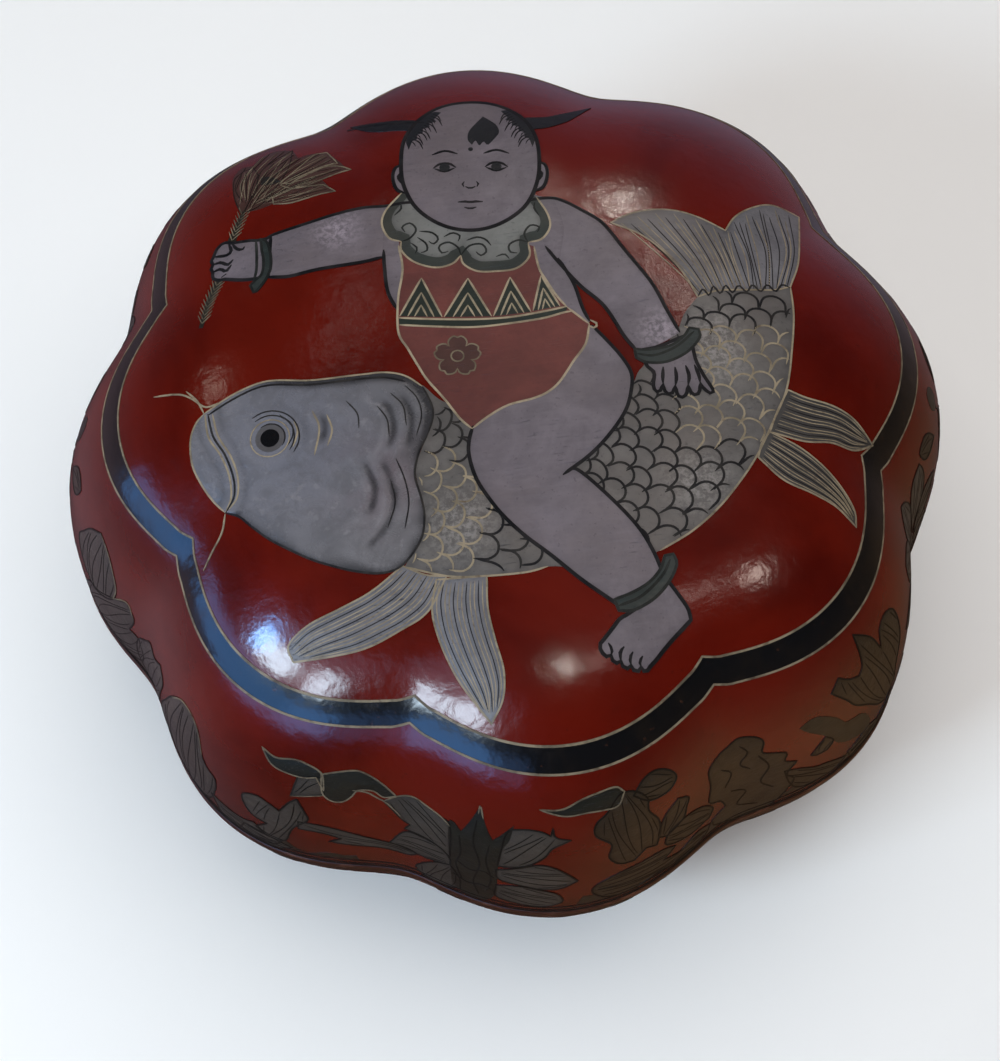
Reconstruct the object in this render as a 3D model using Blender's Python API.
"""A lacquer trinket box: an eight-lobed, melon-shaped box with a domed lift-off lid.

The lid and the base are two hollow shells of lacquered wood. The lid's rim rests on the land of the base,
and a thin flange that stands up inside the lid keeps it in place. Everything is in metres, +Z up. The origin
is the middle of the underside, and the crest of a lobe faces each of the X and Y axes.
"""

import math

import bmesh
import bpy
import numpy as np

MM = 0.001

# Outline of the box, seen from above
LOBES = 8
RIM_RADIUS = 100.0 * MM  # at the crest of a lobe, at the seam
LOBE_DEPTH = 7.0 * MM  # how far a valley lies inside the circle of the crests, at the seam
VALLEY_SOFTNESS = 0.31  # 0 gives a sharp crease between lobes
LOBE_FADE = 0.19  # how soon the lobes die away towards the middle

# Lid
LID_RISE = 70.7 * MM  # from the lid's rim to its top
LID_ROUNDING_OUT = 0.5  # exponents of the dome's profile
LID_ROUNDING_UP = 0.69
WALL = 4.0 * MM
BEAD_HEIGHT = 2.5 * MM  # of the plain bead along the lid's rim
BEAD_PROUD = 0.4 * MM

# Base
BASE_DEPTH = 40.0 * MM  # from the seam down to the foot
BOWL_END_RADIUS = 70.0 * MM  # where the bowl's curve meets the foot
BOWL_ROUNDING = 1.7  # 1 gives a cone, more a fuller bowl
FOOT_HEIGHT = 2.5 * MM
FOOT_INSET = 2.0 * MM  # from the end of the bowl's curve to the foot's side
FOOT_WIDTH = 8.0 * MM
FOOT_RECESS = 1.5 * MM
FLOOR_THICKNESS = 4.5 * MM
FLOOR_FILLET = 3.0 * MM

# Flange that keeps the lid in place
FLANGE_HEIGHT = 6.0 * MM
FLANGE_THICKNESS = 2.2 * MM
FLANGE_CLEARANCE = 0.6 * MM
FLANGE_CHAMFER = 0.6 * MM
FLANGE_ROOT = 4.0 * MM  # how far the flange runs down inside the base
FLANGE_RAMP = 7.0 * MM  # height of the slope from the flange back to the wall
SEAT_GAP = 0.3 * MM  # between the lid's rim and the land it rests on

# Facets
SEGMENTS = 80
LID_OUTER_RINGS = 15
LID_INNER_RINGS = 12
BOWL_OUTER_RINGS = 10
BOWL_INNER_RINGS = 7
FINE_STEPS = 4000

SEAM_Z = FOOT_HEIGHT + BASE_DEPTH
LID_RIM_Z = SEAM_Z + SEAT_GAP
FLOOR_Z = FOOT_RECESS + FLOOR_THICKNESS

RED_LACQUER = (0.27, 0.012, 0.006)


def lobe_wave(angle):
    """1 on the crest of a lobe and 0 in the valley between two."""
    swing = math.cos(LOBES / 2 * angle)
    softest = math.hypot(1.0, VALLEY_SOFTNESS) - VALLEY_SOFTNESS
    return (math.hypot(swing, VALLEY_SOFTNESS) - VALLEY_SOFTNESS) / softest


def valley_drop(crest_radius):
    """How far a valley lies inside the crest, where the crest's radius is this."""
    share = crest_radius / RIM_RADIUS
    return LOBE_DEPTH * share ** (1 + LOBE_FADE)


def evenly(points, count):
    """count points along a fine polyline, equally far apart, with its two ends."""
    points = np.array(points)
    travelled = np.concatenate([[0.0], np.cumsum(np.hypot(*np.diff(points, axis=0).T))])
    wanted = np.linspace(0.0, travelled[-1], count)
    return [tuple(float(np.interp(w, travelled, column)) for column in points.T) for w in wanted]


def offset_inwards(points, distance, side):
    """The polyline moved sideways by distance; side is 1 or -1."""
    points = np.array(points)
    along = np.gradient(points, axis=0)
    along /= np.hypot(along[:, 0], along[:, 1])[:, None]
    sideways = np.stack([along[:, 1], -along[:, 0]], axis=1)
    return [tuple(p) for p in points + side * distance * sideways]


def lid_dome():
    """The lid's outer profile from the rim to the top, finely: a quarter of a superellipse."""
    points = []
    for i in range(FINE_STEPS):
        turn = math.pi / 2 * i / FINE_STEPS
        radius = RIM_RADIUS * math.cos(turn) ** LID_ROUNDING_OUT
        points.append((radius, LID_RIM_Z + LID_RISE * math.sin(turn) ** LID_ROUNDING_UP))
    return points + [(0.0, LID_RIM_Z + LID_RISE)]


def base_bowl():
    """The base's outer profile from the seam down to the foot, finely."""
    points = []
    for i in range(FINE_STEPS + 1):
        share = i / FINE_STEPS
        radius = RIM_RADIUS - (RIM_RADIUS - BOWL_END_RADIUS) * share**BOWL_ROUNDING
        points.append((radius, SEAM_Z - BASE_DEPTH * share))
    return points


def lid_profile():
    """(radius, height) round the lid's section, from its top outside to its ceiling inside."""
    dome = lid_dome()
    bead_top = LID_RIM_Z + BEAD_HEIGHT
    outside = evenly([p for p in dome if p[1] > bead_top], LID_OUTER_RINGS)[::-1]
    bead_radius = RIM_RADIUS + BEAD_PROUD
    bead = [(bead_radius, bead_top - BEAD_PROUD), (bead_radius, LID_RIM_Z)]
    ceiling_z = LID_RIM_Z + LID_RISE - WALL
    inner_wall = [p for p in offset_inwards(dome, WALL, -1) if p[1] > LID_RIM_Z and p[0] > 0]
    inside = evenly([(RIM_RADIUS - WALL, LID_RIM_Z)] + inner_wall + [(0.0, ceiling_z)], LID_INNER_RINGS)
    return outside + bead + inside


def base_profile():
    """(radius, height) round the base's section, from the middle of its underside to its floor inside."""
    bowl = base_bowl()
    foot_radius = bowl[-1][0] - FOOT_INSET
    foot_inner = foot_radius - FOOT_WIDTH
    under = [(0.0, FOOT_RECESS), (foot_inner, FOOT_RECESS), (foot_inner, 0.0), (foot_radius, 0.0)]
    foot_top = [(foot_radius, FOOT_HEIGHT)]
    outside = evenly(bowl, BOWL_OUTER_RINGS)[::-1]
    flange_outer = RIM_RADIUS - WALL - FLANGE_CLEARANCE
    flange_inner = flange_outer - FLANGE_THICKNESS
    flange_top = SEAM_Z + FLANGE_HEIGHT
    flange = [
        (flange_outer, SEAM_Z),
        (flange_outer, flange_top - FLANGE_CHAMFER),
        (flange_outer - FLANGE_CHAMFER, flange_top),
        (flange_inner, flange_top),
        (flange_inner, SEAM_Z - FLANGE_ROOT),
    ]
    ramp_end = SEAM_Z - FLANGE_ROOT - FLANGE_RAMP
    wall = offset_inwards(bowl, WALL, 1)
    lowest = FLOOR_Z + FLOOR_FILLET
    inner_wall = evenly([p for p in wall if lowest < p[1] < ramp_end], BOWL_INNER_RINGS)
    floor_edge = (inner_wall[-1][0] - FLOOR_FILLET, FLOOR_Z)
    return under + foot_top + outside + flange + inner_wall + [floor_edge, (0.0, FLOOR_Z)]


def add_ring(mesh, crest_radius, height):
    """The vertices of a loop that follows the lobed outline, or one vertex on the axis."""
    if crest_radius < MM / 100:
        return [mesh.verts.new((0.0, 0.0, height))]
    verts = []
    for i in range(SEGMENTS):
        angle = 2 * math.pi * i / SEGMENTS
        radius = crest_radius - valley_drop(crest_radius) * (1 - lobe_wave(angle))
        verts.append(mesh.verts.new((radius * math.cos(angle), radius * math.sin(angle), height)))
    return verts


def join_rings(mesh, first, second):
    """A band of faces between two loops, or a fan from a loop to a point."""
    for i in range(SEGMENTS):
        if len(second) == 1:
            mesh.faces.new((first[i - 1], first[i], second[0]))
        elif len(first) == 1:
            mesh.faces.new((second[i - 1], second[i], first[0]))
        else:
            mesh.faces.new((first[i - 1], first[i], second[i], second[i - 1]))


def lobed_solid(name, profile, material):
    """A closed solid whose section is the profile and whose plan is the lobed outline."""
    mesh = bmesh.new()
    rings = [add_ring(mesh, radius, height) for radius, height in profile]
    for first, second in zip(rings, rings[1:]):
        join_rings(mesh, first, second)
    bmesh.ops.recalc_face_normals(mesh, faces=mesh.faces)
    data = bpy.data.meshes.new(name)
    mesh.to_mesh(data)
    mesh.free()
    data.shade_smooth()
    data.set_sharp_from_angle(angle=math.radians(40))
    data.materials.append(material)
    solid = bpy.data.objects.new(name, data)
    bpy.context.scene.collection.objects.link(solid)
    return solid


def lacquer(name, colour, roughness):
    material = bpy.data.materials.new(name)
    material.use_nodes = True
    shader = material.node_tree.nodes["Principled BSDF"]
    shader.inputs["Base Color"].default_value = (*colour, 1.0)
    shader.inputs["Roughness"].default_value = roughness
    shader.inputs["Metallic"].default_value = 0.0
    return material


def main():
    for old in list(bpy.data.objects):
        bpy.data.objects.remove(old)
    lobed_solid("lid", lid_profile(), lacquer("lid_red_lacquer", RED_LACQUER, 0.22))
    lobed_solid("base", base_profile(), lacquer("base_red_lacquer", RED_LACQUER, 0.25))


main()
